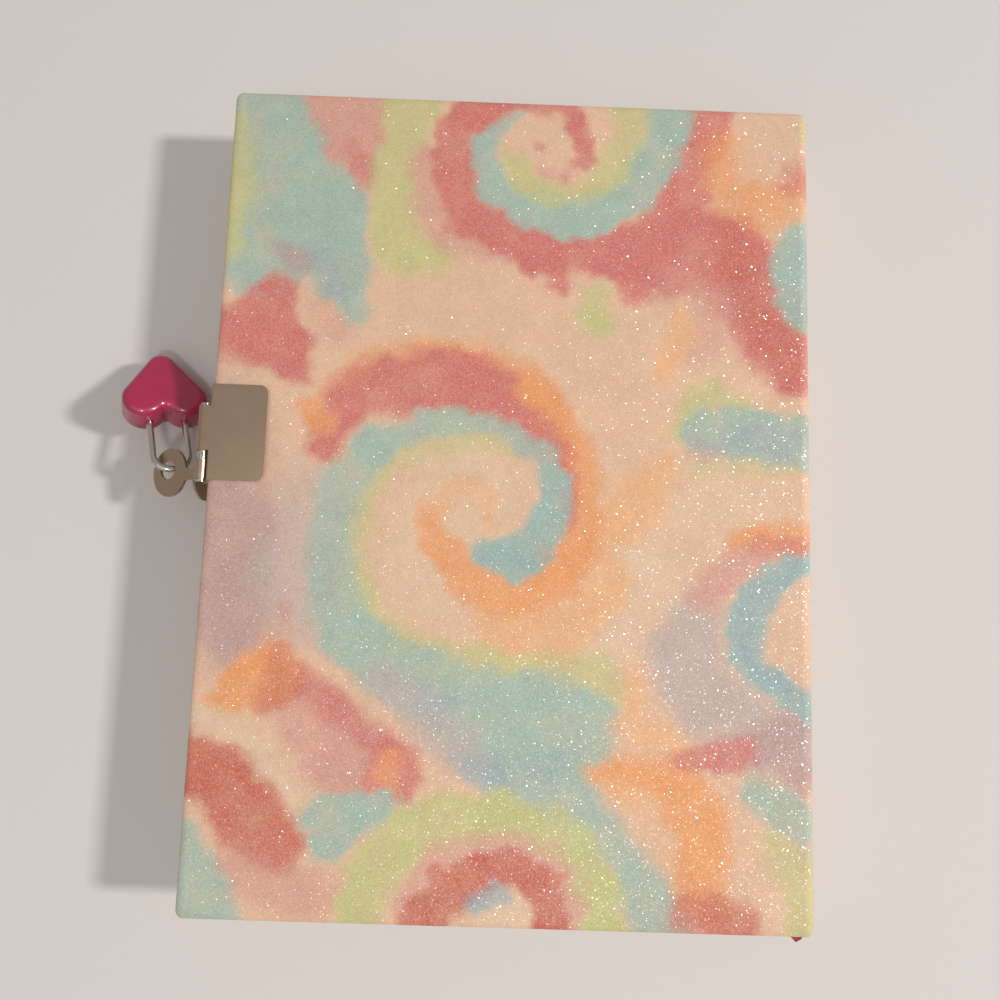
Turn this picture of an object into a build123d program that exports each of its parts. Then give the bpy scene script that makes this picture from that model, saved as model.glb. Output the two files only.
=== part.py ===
"""Hardback diary lying on its front cover, with a hinged clasp and a heart padlock at the fore-edge.

Millimetres. X runs from the fore-edge to the spine, Y from the tail to the head, Z up.
The origin is the middle of the front cover's outer face.
"""

import os
from math import cos, hypot, radians, sin, sqrt

from build123d import *

os.makedirs("parts", exist_ok=True)

# Case: two boards and a spine strip in a glued wrapping
book_width = 150.0
book_height = 205.0
book_thickness = 21.0
board_thickness = 2.2
wrap_thickness = 0.3
turn_in = 12.0
cover_corner = 2.0
edge_round = 0.6
spine_board_thickness = 1.8
joint_radius = 3.0
board_setback = 5.0
joint_gap = 0.15

# Leaves: folded gatherings between two endpapers
square = 3.5
paper_thickness = 0.2
pastedown_margin = 2.5
pastedown_setback = 7.0
fold_setback = 6.0
fixed_gatherings = 4
middle_gatherings = 2
back_gatherings = 2
leaf_gap = 0.1
fold_share = 0.45

# Spine lining, bands and ribbon
glue_gap = 0.3
lining_thickness = 0.5
lining_margin = 7.0
band_radius = 0.9
band_tape = 10.0
band_tape_thickness = 0.4
band_low_margin = 1.0
band_high_margin = 2.5
ribbon_width = 3.0
ribbon_thickness = 0.2
ribbon_gutter = 3.0
ribbon_head_margin = 2.0
ribbon_bend_y = -97.8
ribbon_tip_y = -104.8
ribbon_end_y = -103.7
ribbon_clearance = 0.2

# Clasp: one stamped plate, pin and ear on each cover
clasp_y = 12.4
plate_length = 24.2
plate_reach = 13.5
plate_thickness = 0.5
plate_corner = 2.0
plate_room = 0.15
bend_radius = 0.4
lip_reach = 2.2
knuckle_radius = 1.6
knuckle_length = 11.4
knuckle_shift = 1.0
knuckle_offset = 2.3
strip_overlap = 0.5
pin_radius = 0.9
pin_clearance = 0.05
pin_head_radius = 1.3
pin_head_length = 0.5
shoulder_radius = 1.25
peen_radius = 1.2
peen_length = 0.4
side_gap = 0.2
ear_y = 2.5
ear_eye_reach = 11.45
ear_eye_inset = 0.6
ear_half_length = 5.2
ear_neck = 1.5
ear_half_width = 6.2
ear_thickness = 0.8
ear_knuckle_radius = 1.5
ear_knuckle_length = 4.8
ear_knuckle_shift = 0.5
ear_arm_width = 2.8
ear_arm_shift = -0.5
ear_arm_fillet = 1.0
ear_hole_radius = 2.4
ear_hole_shift = 0.7
back_ear_angle = -21.0
front_ear_angle = 61.0

# Padlock: die-cast heart case and a bent wire shackle
lobe_radius = 5.4
lobe_spacing = 9.8
heart_height = 19.0
heart_point_radius = 3.6
heart_notch_radius = 1.2
case_thickness = 9.5
case_edge = 2.0
case_side_wall = 2.0
cavity_depth = 1.7
wire_radius = 0.85
leg_spacing = 8.4
leg_clearance = 0.1
leg_end_room = 0.6
shackle_reach = 14.2
heel_depth = 10.6
toe_depth = 7.2
notch_y = -5.3
notch_height = 1.2
notch_depth = 0.7
bolt_gap = 0.3
bolt_nose_height = 1.0
bolt_body_width = 4.4
bolt_body_height = 4.2
bolt_thickness = 2.0
post_radius = 0.8
post_x = 6.6
post_y = -5.4
low_post_y = -13.2
keyhole_radius = 1.1
keyhole_slot = 0.9
keyhole_length = 2.4
keyhole_y = -10.6

# Where the padlock hangs: its shackle points along lock_up, its legs lie side by side along lock_side
lock_up = Vector(0.294, -0.915, 0.278).normalized()
lock_side = Vector(-0.880, -0.146, 0.452)
eye_on_bow = 10.9
bow_slack = 0.3

panel_thickness = board_thickness + wrap_thickness
fore_x = -book_width / 2
spine_x = book_width / 2
joint_x = spine_x - joint_radius
board_end_x = spine_x - board_setback

front_face = Plane(origin=(0, 0, 0), x_dir=(1, 0, 0), z_dir=(0, 0, 1))
back_face = Plane(origin=(0, 0, book_thickness), x_dir=(1, 0, 0), z_dir=(0, 0, -1))


def save(piece, name):
    """Label a finished piece and write it under its own name."""
    piece.part.label = name
    export_step(piece.part, f"parts/{name}.step")


def span(low, high, height, mode=Mode.ADD):
    """Rectangle from low to high along X, centred on Y."""
    with Locations(((low + high) / 2, 0)):
        Rectangle(high - low, height, mode=mode)


def section_of(face, y):
    """Upright plane across the book: width, then depth inwards from a cover's outer face."""
    return Plane(
        origin=(0, y, face.origin.Z),
        x_dir=(1, 0, 0),
        z_dir=Vector(1, 0, 0).cross(face.z_dir),
    )


# Seat of a clasp plate: the cover is pressed in there, so that the plate lies flush


def plate_seat(face, seat, low_x, margin):
    """The plate's outline from low_x inwards, widened by margin, in a cover's own plane."""
    reach = fore_x + plate_reach + margin - low_x
    with Locations((low_x, clasp_y * face.y_dir.Y)):
        Rectangle(reach, plate_length + 2 * margin, align=(Align.MIN, Align.CENTER))
    fillet(seat.vertices().group_by(Axis.X)[-1], radius=plate_corner + margin)


# Boards: greyboard pressed in by the wrapping's thickness where the turn-ins lie

window_low_x = fore_x + turn_in
window_height = book_height - 2 * turn_in
board_low_x = fore_x + wrap_thickness
board_height = book_height - 2 * wrap_thickness


def make_board(face):
    with BuildPart() as board:
        with BuildSketch(face.offset(wrap_thickness)) as outline:
            span(board_low_x, board_end_x, board_height)
            fillet(outline.vertices().group_by(Axis.X)[0], radius=cover_corner)
        extrude(amount=board_thickness)
        with BuildSketch(face.offset(panel_thickness)):
            span(board_low_x, board_end_x, board_height)
            span(window_low_x, board_end_x, window_height, mode=Mode.SUBTRACT)
        extrude(amount=-wrap_thickness, mode=Mode.SUBTRACT)
        with BuildSketch(face) as seat:
            plate_seat(face, seat, board_low_x, plate_room + wrap_thickness)
        extrude(amount=plate_thickness + wrap_thickness, mode=Mode.SUBTRACT)
    return board


# Wrapping of a cover: outer sheet, turned edges and turn-ins on three sides, rolled joint on the fourth


def make_wrap(face):
    with BuildPart() as wrap:
        with BuildSketch(face) as outline:
            span(fore_x, joint_x, book_height)
            fillet(outline.vertices().group_by(Axis.X)[0], radius=cover_corner)
        extrude(amount=panel_thickness)
        outer_side = wrap.faces().sort_by(Axis(face.origin, face.z_dir))[0]
        fillet(outer_side.edges().sort_by(Axis.X)[:-1], radius=edge_round)
        with BuildSketch(face.offset(wrap_thickness)) as room:
            span(board_low_x, joint_x, board_height)
            fillet(room.vertices().group_by(Axis.X)[0], radius=cover_corner - wrap_thickness)
        extrude(amount=board_thickness - wrap_thickness, mode=Mode.SUBTRACT)
        with BuildSketch(face.offset(panel_thickness)):
            span(window_low_x, joint_x, window_height)
        extrude(amount=-board_thickness, mode=Mode.SUBTRACT)
        with BuildSketch(face) as seat:
            plate_seat(face, seat, board_low_x, plate_room + wrap_thickness)
        extrude(amount=plate_thickness + wrap_thickness)
        with BuildSketch(face) as seat:
            plate_seat(face, seat, fore_x, plate_room)
        extrude(amount=plate_thickness, mode=Mode.SUBTRACT)
        with BuildSketch(section_of(face, 0)):
            with Locations((joint_x, joint_radius)):
                Circle(joint_radius)
                Circle(joint_radius - wrap_thickness, mode=Mode.SUBTRACT)
                Rectangle(joint_radius, joint_radius, align=(Align.MIN, Align.MAX), mode=Mode.INTERSECT)
        extrude(amount=book_height / 2, both=True)
    return wrap


# Pastedown: endpaper glued over the turn-ins


def make_pastedown(face):
    with BuildPart() as pastedown:
        with BuildSketch(face.offset(panel_thickness)):
            span(fore_x + pastedown_margin, spine_x - pastedown_setback, book_height - 2 * pastedown_margin)
        extrude(amount=paper_thickness)
    return pastedown


# Spine strip: a flat board in the same wrapping, free of the leaves

spine_low_z = joint_radius + joint_gap
spine_height = book_thickness - 2 * spine_low_z
spine_board_x = spine_x - wrap_thickness - spine_board_thickness
spine_plane = Plane.XY.offset(spine_low_z)

with BuildPart() as spine_board:
    with BuildSketch(spine_plane):
        span(spine_board_x, spine_x - wrap_thickness, board_height)
    extrude(amount=spine_height)
save(spine_board, "spine_board")

with BuildPart() as spine_wrap:
    with BuildSketch(spine_plane):
        span(spine_board_x - wrap_thickness, spine_x, book_height)
        span(spine_board_x, spine_x - wrap_thickness, board_height, mode=Mode.SUBTRACT)
        span(spine_board_x - wrap_thickness, spine_board_x, window_height, mode=Mode.SUBTRACT)
    extrude(amount=spine_height)
save(spine_wrap, "spine_wrap")

# Leaves: gatherings folded at the spine, in three packs that turn apart, between two flyleaves

leaf_low_x = fore_x + square
leaf_high_x = spine_x - fold_setback
leaf_height = book_height - 2 * square
block_low_z = panel_thickness + 2 * paper_thickness
block_high_z = book_thickness - panel_thickness - 2 * paper_thickness - leaf_gap
gathering_count = fixed_gatherings + middle_gatherings + back_gatherings
gathering_thickness = (block_high_z - block_low_z - 2 * leaf_gap) / gathering_count
fold_radius = fold_share * gathering_thickness


def make_flyleaf(low_z):
    with BuildPart() as flyleaf:
        with BuildSketch(Plane.XY.offset(low_z)):
            span(leaf_low_x, leaf_high_x, leaf_height)
        extrude(amount=paper_thickness)
    return flyleaf


save(make_flyleaf(panel_thickness + paper_thickness), "front_flyleaf")
save(make_flyleaf(block_high_z), "back_flyleaf")

# Ribbon marker: lies in the gutter under the back flyleaf, its end slants out at the tail

ribbon_low_x = leaf_high_x - ribbon_gutter - ribbon_width / 2
ribbon_high_x = ribbon_low_x + ribbon_width
ribbon_head_y = leaf_height / 2 - ribbon_head_margin
ribbon_turn_y = ribbon_bend_y - ribbon_width * (sqrt(2) - 1)


def ribbon_outline():
    Polygon(
        (ribbon_low_x, ribbon_head_y),
        (ribbon_high_x, ribbon_head_y),
        (ribbon_high_x, ribbon_bend_y),
        (ribbon_high_x + ribbon_bend_y - ribbon_tip_y, ribbon_tip_y),
        (ribbon_low_x + ribbon_turn_y - ribbon_end_y, ribbon_end_y),
        (ribbon_low_x, ribbon_turn_y),
        align=None,
    )


with BuildPart() as ribbon_marker:
    with BuildSketch(Plane.XY.offset(block_high_z)):
        ribbon_outline()
    extrude(amount=-ribbon_thickness)
save(ribbon_marker, "ribbon_marker")

for index in range(gathering_count):
    packs_below = (index >= fixed_gatherings) + (index >= fixed_gatherings + middle_gatherings)
    low_z = block_low_z + index * gathering_thickness + packs_below * leaf_gap
    with BuildPart() as gathering:
        with BuildSketch(Plane.XY.offset(low_z)):
            span(leaf_low_x, leaf_high_x, leaf_height)
        extrude(amount=gathering_thickness)
        fillet(gathering.edges().filter_by(Axis.Y).group_by(Axis.X)[-1], radius=fold_radius)
        if index == gathering_count - 1:
            with BuildSketch(Plane.XY.offset(block_high_z)):
                ribbon_outline()
                offset(amount=ribbon_clearance, kind=Kind.INTERSECTION)
            extrude(amount=-ribbon_thickness, mode=Mode.SUBTRACT)
    save(gathering, f"gathering_{index + 1}")

# Spine lining over the folds, and a corded band at each end of it

lining_x = leaf_high_x + glue_gap
tape_x = lining_x + lining_thickness
bead_y = leaf_height / 2 + glue_gap + band_radius
band_low_z = block_low_z + band_low_margin
band_high_z = block_high_z - band_high_margin

with BuildPart() as spine_lining:
    with BuildSketch(Plane.XY.offset(block_low_z + glue_gap)):
        span(lining_x, tape_x, leaf_height - 2 * lining_margin)
    extrude(amount=block_high_z - block_low_z - 2 * glue_gap)
save(spine_lining, "spine_lining")

for name, end in (("head_band", 1), ("tail_band", -1)):
    with BuildPart() as band:
        with BuildSketch(Plane.XY.offset(band_low_z)):
            with Locations((tape_x - glue_gap, end * bead_y)):
                Circle(band_radius)
            with Locations((tape_x + band_tape_thickness / 2, end * (bead_y - band_tape / 2))):
                Rectangle(band_tape_thickness, band_tape)
        extrude(amount=band_high_z - band_low_z)
    save(band, name)

# Clasp plate: sheet folded over the fore-edge, its middle rolled into the fixed knuckle

plate_low_x = fore_x - plate_thickness
plate_low_y = clasp_y - plate_length / 2
knuckle_y = clasp_y + knuckle_shift
axis_x = fore_x - knuckle_offset
axis_depth = knuckle_radius
bore_radius = pin_radius + pin_clearance


def make_plate(face):
    with BuildPart() as plate:
        with BuildSketch(section_of(face, clasp_y)):
            with BuildLine():
                Polyline(
                    (plate_low_x, 0),
                    (fore_x + plate_reach, 0),
                    (fore_x + plate_reach, plate_thickness),
                    (fore_x, plate_thickness),
                    (fore_x, panel_thickness),
                    (fore_x + lip_reach, panel_thickness),
                    (fore_x + lip_reach, panel_thickness + plate_thickness),
                    (plate_low_x, panel_thickness + plate_thickness),
                    close=True,
                )
            make_face()
        extrude(amount=plate_length / 2, both=True)
        fillet(plate.edges().filter_by(Axis.Z).group_by(Axis.X)[-1], radius=plate_corner)
        fillet(plate.edges().filter_by(Axis.Y).group_by(Axis.X)[0], radius=bend_radius)
        with BuildSketch(section_of(face, knuckle_y)):
            with Locations((axis_x, axis_depth)):
                Circle(knuckle_radius)
                Circle(bore_radius, mode=Mode.SUBTRACT)
            with Locations((axis_x, 0)):
                Rectangle(knuckle_offset + strip_overlap, plate_thickness, align=Align.MIN)
        extrude(amount=knuckle_length / 2, both=True)
    return plate


# Hinge pin: headed wire, swaged to a shoulder between the two knuckles and peened at its far end

ear_knuckle_y = ear_y + ear_knuckle_shift
pin_stations = (
    (
        ear_knuckle_y - ear_knuckle_length / 2 - side_gap - pin_head_length,
        ear_knuckle_y - ear_knuckle_length / 2 - side_gap,
        pin_head_radius,
    ),
    (
        ear_knuckle_y - ear_knuckle_length / 2 - side_gap,
        knuckle_y + knuckle_length / 2 + side_gap,
        pin_radius,
    ),
    (
        ear_knuckle_y + ear_knuckle_length / 2 + side_gap,
        knuckle_y - knuckle_length / 2 - side_gap,
        shoulder_radius,
    ),
    (
        knuckle_y + knuckle_length / 2 + side_gap,
        knuckle_y + knuckle_length / 2 + side_gap + peen_length,
        peen_radius,
    ),
)


def make_pin(face):
    with BuildPart() as pin:
        for low_y, high_y, radius in pin_stations:
            with BuildSketch(section_of(face, (low_y + high_y) / 2)):
                with Locations((axis_x, axis_depth)):
                    Circle(radius)
            extrude(amount=(high_y - low_y) / 2, both=True)
    return pin


# Hasp ear: knuckle and arm of one strip, ending in an oval eye for the padlock


def ear_plane(axis_z, angle):
    """Plane on the hinge axis, X out along the ear raised by angle, Z off its upper side."""
    tilt = radians(angle)
    return Plane(
        origin=(axis_x, ear_y, axis_z),
        x_dir=(-cos(tilt), 0, sin(tilt)),
        z_dir=(sin(tilt), 0, cos(tilt)),
    )


def make_ear(plane, eye_reach):
    leaf = plane.offset(-ear_knuckle_radius)
    across = Plane(origin=plane.origin, x_dir=plane.x_dir, z_dir=(0, 1, 0))
    half_length = min(ear_half_length, eye_reach - ear_eye_inset - ear_neck)
    with BuildPart() as ear:
        with BuildSketch(leaf):
            with Locations((eye_reach - ear_eye_inset, 0)):
                Ellipse(half_length, ear_half_width)
            with Locations((0, -ear_arm_shift)):
                Rectangle(eye_reach - ear_eye_inset, ear_arm_width, align=(Align.MIN, Align.CENTER))
        extrude(amount=ear_thickness)
        upright = ear.edges().filter_by(Axis(plane.origin, plane.z_dir))
        fillet(upright.sort_by(Axis(plane.origin, plane.x_dir))[2:4], radius=ear_arm_fillet)
        with BuildSketch(leaf):
            with Locations((eye_reach, -ear_hole_shift)):
                Circle(ear_hole_radius)
        extrude(amount=ear_thickness, mode=Mode.SUBTRACT)
        with BuildSketch(across.offset(ear_knuckle_shift)):
            Circle(ear_knuckle_radius)
        extrude(amount=ear_knuckle_length / 2, both=True)
        with BuildSketch(across.offset(ear_knuckle_shift)):
            Circle(bore_radius)
        extrude(amount=ear_knuckle_length, both=True, mode=Mode.SUBTRACT)
    return ear


for side, face in (("front", front_face), ("back", back_face)):
    save(make_board(face), f"{side}_board")
    save(make_wrap(face), f"{side}_wrap")
    save(make_pastedown(face), f"{side}_pastedown")
    save(make_plate(face), f"{side}_clasp_plate")
    save(make_pin(face), f"{side}_hinge_pin")

back_ear_plane = ear_plane(book_thickness - axis_depth, back_ear_angle)
front_ear_plane = ear_plane(axis_depth, front_ear_angle)
front_eye_reach = book_thickness - 2 * axis_depth - ear_eye_reach
save(make_ear(back_ear_plane, ear_eye_reach), "back_hasp_ear")
save(make_ear(front_ear_plane, front_eye_reach), "front_hasp_ear")

# Padlock frame: lobes' tops at Y zero, shackle towards positive Y, seam of the two shells at Z zero

eye_centre = back_ear_plane.from_local_coords(
    Vector(ear_eye_reach, -ear_hole_shift, ear_thickness / 2 - ear_knuckle_radius)
)
lock_side = (lock_side - lock_up * lock_side.dot(lock_up)).normalized()
leg_x = leg_spacing / 2
bow_y = shackle_reach - leg_x
eye_turn = radians(eye_on_bow)
eye_direction = lock_up * cos(eye_turn) + lock_side * sin(eye_turn)
lock_plane = Plane(
    origin=eye_centre - eye_direction * (leg_x + bow_slack) - lock_up * bow_y,
    x_dir=lock_side,
    z_dir=lock_side.cross(lock_up),
)

# Shackle: bent steel wire, a long heel leg that stays in the case and a notched toe leg

leg_section = Plane(origin=lock_plane.origin, x_dir=lock_plane.x_dir, z_dir=lock_plane.y_dir)

with BuildPart() as lock_shackle:
    with BuildLine(lock_plane) as wire_path:
        Line((-leg_x, -heel_depth), (-leg_x, bow_y))
        CenterArc((0, bow_y), leg_x, 180, -180)
        Line((leg_x, bow_y), (leg_x, -toe_depth))
    with BuildSketch(leg_section.offset(-heel_depth)):
        with Locations((-leg_x, 0)):
            Circle(wire_radius)
    sweep(path=wire_path.line)
    with BuildSketch(lock_plane):
        with Locations((leg_x - wire_radius, notch_y)):
            Rectangle(2 * notch_depth, notch_height)
    extrude(amount=2 * wire_radius, both=True, mode=Mode.SUBTRACT)
save(lock_shackle, "lock_shackle")

# Case: two hollow heart shells that meet at the seam, the back one with cast posts

lobe_x = lobe_spacing / 2
point_y = heart_point_radius - heart_height
side_run = hypot(lobe_x, point_y + lobe_radius)
side_share = (lobe_radius - heart_point_radius) / side_run
side_rest = sqrt(1 - side_share**2)
normal_x = (side_rest * -(point_y + lobe_radius) - side_share * lobe_x) / side_run
normal_y = (side_share * (point_y + lobe_radius) - side_rest * lobe_x) / side_run
notch_bottom_y = sqrt(lobe_radius**2 - lobe_x**2) - lobe_radius


def heart_outline(heart):
    """Two lobes and a rounded point joined by their common tangents, the notch rounded."""
    with Locations((-lobe_x, -lobe_radius), (lobe_x, -lobe_radius)):
        Circle(lobe_radius)
    with Locations((0, point_y)):
        Circle(heart_point_radius)
    Polygon(
        (lobe_x + lobe_radius * normal_x, lobe_radius * normal_y - lobe_radius),
        (heart_point_radius * normal_x, point_y + heart_point_radius * normal_y),
        (-heart_point_radius * normal_x, point_y + heart_point_radius * normal_y),
        (-lobe_x - lobe_radius * normal_x, lobe_radius * normal_y - lobe_radius),
        (-lobe_x, -lobe_radius),
        (lobe_x, -lobe_radius),
        align=None,
    )
    fillet(heart.vertices().sort_by_distance((0, notch_bottom_y))[0], radius=heart_notch_radius)


def make_shell(side):
    outward = Axis(lock_plane.origin, lock_plane.z_dir * side)
    with BuildPart() as shell:
        with BuildSketch(lock_plane) as outline:
            heart_outline(outline)
        extrude(amount=side * case_thickness / 2)
        fillet(shell.faces().sort_by(outward)[-1].edges(), radius=case_edge)
        with BuildSketch(lock_plane) as room:
            heart_outline(room)
            offset(amount=-case_side_wall)
        extrude(amount=side * cavity_depth, mode=Mode.SUBTRACT)
        with BuildSketch(leg_section.offset(lobe_radius)):
            with Locations((-leg_x, 0), (leg_x, 0)):
                Circle(wire_radius + leg_clearance)
        extrude(amount=-lobe_radius - heel_depth - leg_end_room, mode=Mode.SUBTRACT)
        if side < 0:
            with BuildSketch(lock_plane.offset(-case_thickness / 2)):
                with Locations((0, keyhole_y)):
                    Circle(keyhole_radius)
                    Rectangle(keyhole_slot, keyhole_length, align=(Align.CENTER, Align.MAX))
            extrude(amount=case_thickness / 2 - cavity_depth, mode=Mode.SUBTRACT)
            with BuildSketch(lock_plane.offset(-cavity_depth)):
                with Locations((-post_x, post_y), (post_x, post_y), (0, low_post_y)):
                    Circle(post_radius)
            extrude(amount=2 * cavity_depth)
    return shell


save(make_shell(1), "lock_front_shell")
save(make_shell(-1), "lock_back_shell")

# Bolt: flat slide whose nose enters the toe leg's notch, drawn back

nose_x = leg_x - wire_radius - bolt_gap

with BuildPart() as lock_bolt:
    with BuildSketch(lock_plane):
        with Locations((0, notch_y + bolt_nose_height / 2)):
            Rectangle(bolt_body_width, bolt_body_height, align=(Align.CENTER, Align.MAX))
            Rectangle(nose_x, bolt_nose_height, align=(Align.MIN, Align.MAX))
    extrude(amount=bolt_thickness / 2, both=True)
save(lock_bolt, "lock_bolt")
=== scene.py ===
import bmesh
import bpy
import numpy as np
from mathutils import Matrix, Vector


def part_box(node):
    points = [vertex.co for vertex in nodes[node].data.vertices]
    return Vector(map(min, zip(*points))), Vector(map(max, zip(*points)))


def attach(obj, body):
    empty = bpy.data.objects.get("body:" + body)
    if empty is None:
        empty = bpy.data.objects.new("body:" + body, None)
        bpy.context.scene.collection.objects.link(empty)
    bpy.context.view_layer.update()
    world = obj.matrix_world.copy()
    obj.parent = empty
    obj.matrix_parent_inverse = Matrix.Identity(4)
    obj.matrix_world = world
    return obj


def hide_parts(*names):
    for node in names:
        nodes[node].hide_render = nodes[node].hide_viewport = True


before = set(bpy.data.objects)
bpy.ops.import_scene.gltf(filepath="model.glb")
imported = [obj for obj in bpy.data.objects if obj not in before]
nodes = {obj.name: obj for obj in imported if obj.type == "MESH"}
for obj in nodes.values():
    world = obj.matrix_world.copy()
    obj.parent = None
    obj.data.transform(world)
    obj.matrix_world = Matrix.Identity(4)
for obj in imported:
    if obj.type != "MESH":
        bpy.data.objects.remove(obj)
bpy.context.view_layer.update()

# Leaves: eight gatherings of folded writing paper, glued at the fold and cut flush on three sides.
# Uncoated cream paper: matt, with the cut edges showing as a stack of hair-fine lines.


def linear(code):
    """sRGB hex to linear RGBA: below 0.04045 divided by 12.92, above it the 2.4 power curve."""
    srgb = np.array([int(code[i : i + 2], 16) for i in (1, 3, 5)]) / 255
    rgb = np.where(srgb <= 0.04045, srgb / 12.92, ((srgb + 0.055) / 1.055) ** 2.4)
    return (*rgb.tolist(), 1.0)


def wire(node, inputs):
    """Set a node's inputs: another node's socket is linked, anything else is put on the socket."""
    for key, value in inputs.items():
        if isinstance(value, bpy.types.NodeSocket):
            node.id_data.links.new(value, node.inputs[key])
        else:
            node.inputs[key].default_value = value


def put(material, kind, inputs, **settings):
    """Add one node to a material, with its settings and its inputs."""
    node = material.node_tree.nodes.new(kind)
    for key, value in settings.items():
        setattr(node, key, value)
    wire(node, inputs)
    return node


def new_finish(name):
    """A named material with its shader."""
    material = bpy.data.materials.new(name)
    material.use_nodes = True
    return material, material.node_tree.nodes["Principled BSDF"]


def dress(obj, material):
    """Give a piece or a node one material all over."""
    obj.data.materials.clear()
    obj.data.materials.append(material)


# Leaf lines every 0.19 mm on the cut edges, the darker ones painted shade in the gaps between leaves: real
# leaves are 0.1 mm, drawn coarser so that they show.
# A page itself is plain, with a faint cloudy formation of about 3 mm.
leaf_paper, shader = new_finish("uncoated_cream_paper")
own = put(leaf_paper, "ShaderNodeTexCoord", {})
stretch = put(leaf_paper, "ShaderNodeMapping", {"Vector": own.outputs["Object"], "Scale": (25, 25, 5300)})
leaf_lines = put(
    leaf_paper,
    "ShaderNodeTexNoise",
    {"Vector": stretch.outputs[0], "Scale": 1.0, "Detail": 3.0},
)
leaf_cloud = put(
    leaf_paper,
    "ShaderNodeTexNoise",
    {"Vector": own.outputs["Object"], "Scale": 330.0, "Detail": 4.0, "Roughness": 0.6},
)
leaf_face = put(leaf_paper, "ShaderNodeSeparateXYZ", {"Vector": own.outputs["Normal"]})
page = put(leaf_paper, "ShaderNodeMath", {0: leaf_face.outputs[2]}, operation="ABSOLUTE")
# Painted shade: darker lines in the gaps between leaves, only on the cut edges.
painted_leaf_gap_shade = put(
    leaf_paper,
    "ShaderNodeMapRange",
    {"Value": leaf_lines.outputs[0], "From Min": 0.36, "From Max": 0.62},
)
page_shade = put(
    leaf_paper,
    "ShaderNodeMapRange",
    {"Value": leaf_cloud.outputs[0], "From Min": 0.3, "From Max": 0.7, "To Min": 0.82, "To Max": 1.0},
)
leaf_shade = put(
    leaf_paper,
    "ShaderNodeMix",
    {0: page.outputs[0], 2: painted_leaf_gap_shade.outputs[0], 3: page_shade.outputs[0]},
)
leaf_colour = put(
    leaf_paper,
    "ShaderNodeMix",
    {0: leaf_shade.outputs[0], 6: linear("#c9bfa9"), 7: linear("#f3eee1")},
    data_type="RGBA",
)
leaf_bump = put(
    leaf_paper,
    "ShaderNodeBump",
    {"Height": leaf_shade.outputs[0], "Strength": 0.4, "Distance": 0.0001},
)
wire(
    shader,
    {
        "Base Color": leaf_colour.outputs[2],
        "Roughness": 0.86,
        "IOR": 1.5,
        "Specular IOR Level": 0.25,
        "Normal": leaf_bump.outputs[0],
    },
)
for number in range(1, 9):
    dress(nodes[f"gathering_{number}"], leaf_paper)

# Endpapers: a pastedown glued inside each cover and a loose flyleaf facing it.
# Smooth tinted paper with a faint cloudy formation and short fibres.

# Clouds of about 4 mm, and a tooth of 0.4 mm, coarser than real fibres so that it shows.
endpaper, shader = new_finish("tinted_endpaper")
place = put(endpaper, "ShaderNodeTexCoord", {}).outputs["Object"]
cloud = put(
    endpaper,
    "ShaderNodeTexNoise",
    {"Vector": place, "Scale": 260.0, "Detail": 5.0, "Roughness": 0.6},
)
tint = put(
    endpaper,
    "ShaderNodeMix",
    {0: cloud.outputs[0], 6: linear("#dca6a8"), 7: linear("#ebc3c1")},
    data_type="RGBA",
)
fibre = put(endpaper, "ShaderNodeTexNoise", {"Vector": place, "Scale": 2400.0, "Detail": 2.0})
tooth = put(
    endpaper,
    "ShaderNodeBump",
    {"Height": fibre.outputs[0], "Strength": 0.2, "Distance": 0.00005},
)
wire(
    shader,
    {
        "Base Color": tint.outputs[2],
        "Roughness": 0.78,
        "IOR": 1.5,
        "Specular IOR Level": 0.3,
        "Normal": tooth.outputs[0],
    },
)
for name in ("front_pastedown", "back_pastedown", "front_flyleaf", "back_flyleaf"):
    dress(nodes[name], endpaper)

# Spine lining: a strip of kraft paper glued over the gatherings' folds.
# Brown kraft with laid lines every 2 mm, broken up by flecks of about 1 mm.

kraft, shader = new_finish("brown_kraft_paper")
place = put(kraft, "ShaderNodeTexCoord", {}).outputs["Object"]
laid = put(
    kraft,
    "ShaderNodeTexWave",
    {"Vector": place, "Scale": 160.0, "Distortion": 1.5},
    bands_direction="Y",
)
fleck = put(kraft, "ShaderNodeTexNoise", {"Vector": place, "Scale": 900.0, "Detail": 4.0})
pulp = put(kraft, "ShaderNodeMath", {0: laid.outputs["Fac"], 1: fleck.outputs[0]}, operation="MULTIPLY")
kraft_colour = put(
    kraft,
    "ShaderNodeMix",
    {0: pulp.outputs[0], 6: linear("#a88b62"), 7: linear("#cdb48b")},
    data_type="RGBA",
)
wire(shader, {"Base Color": kraft_colour.outputs[2], "Roughness": 0.85, "Specular IOR Level": 0.2})
dress(nodes["spine_lining"], kraft)

# Head and tail band: a cotton cord sewn along the edge of a short tape, glued over the folds' ends.
# Soft matt cotton: the cord is three twisted plies in two colours, the tape is flat.


def surface(name, grids, flip=False):
    """One mesh of point grids in millimetres: each four neighbours in a grid make a face."""
    points, faces, start = [], [], 0
    for grid in grids:
        rows, columns = grid.shape[:2]
        index = start + np.arange(rows * columns).reshape(rows, columns)
        quads = np.stack([index[:-1, :-1], index[1:, :-1], index[1:, 1:], index[:-1, 1:]], -1).reshape(-1, 4)
        faces.append(quads[:, ::-1] if flip else quads)
        points.append(grid.reshape(-1, 3))
        start += rows * columns
    mesh = bpy.data.meshes.new(name)
    mesh.from_pydata((np.concatenate(points) * 0.001).tolist(), [], np.concatenate(faces).tolist())
    mesh.polygons.foreach_set("use_smooth", np.ones(len(mesh.polygons), bool))
    obj = bpy.data.objects.new(name, mesh)
    bpy.context.scene.collection.objects.link(obj)
    return obj


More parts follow.
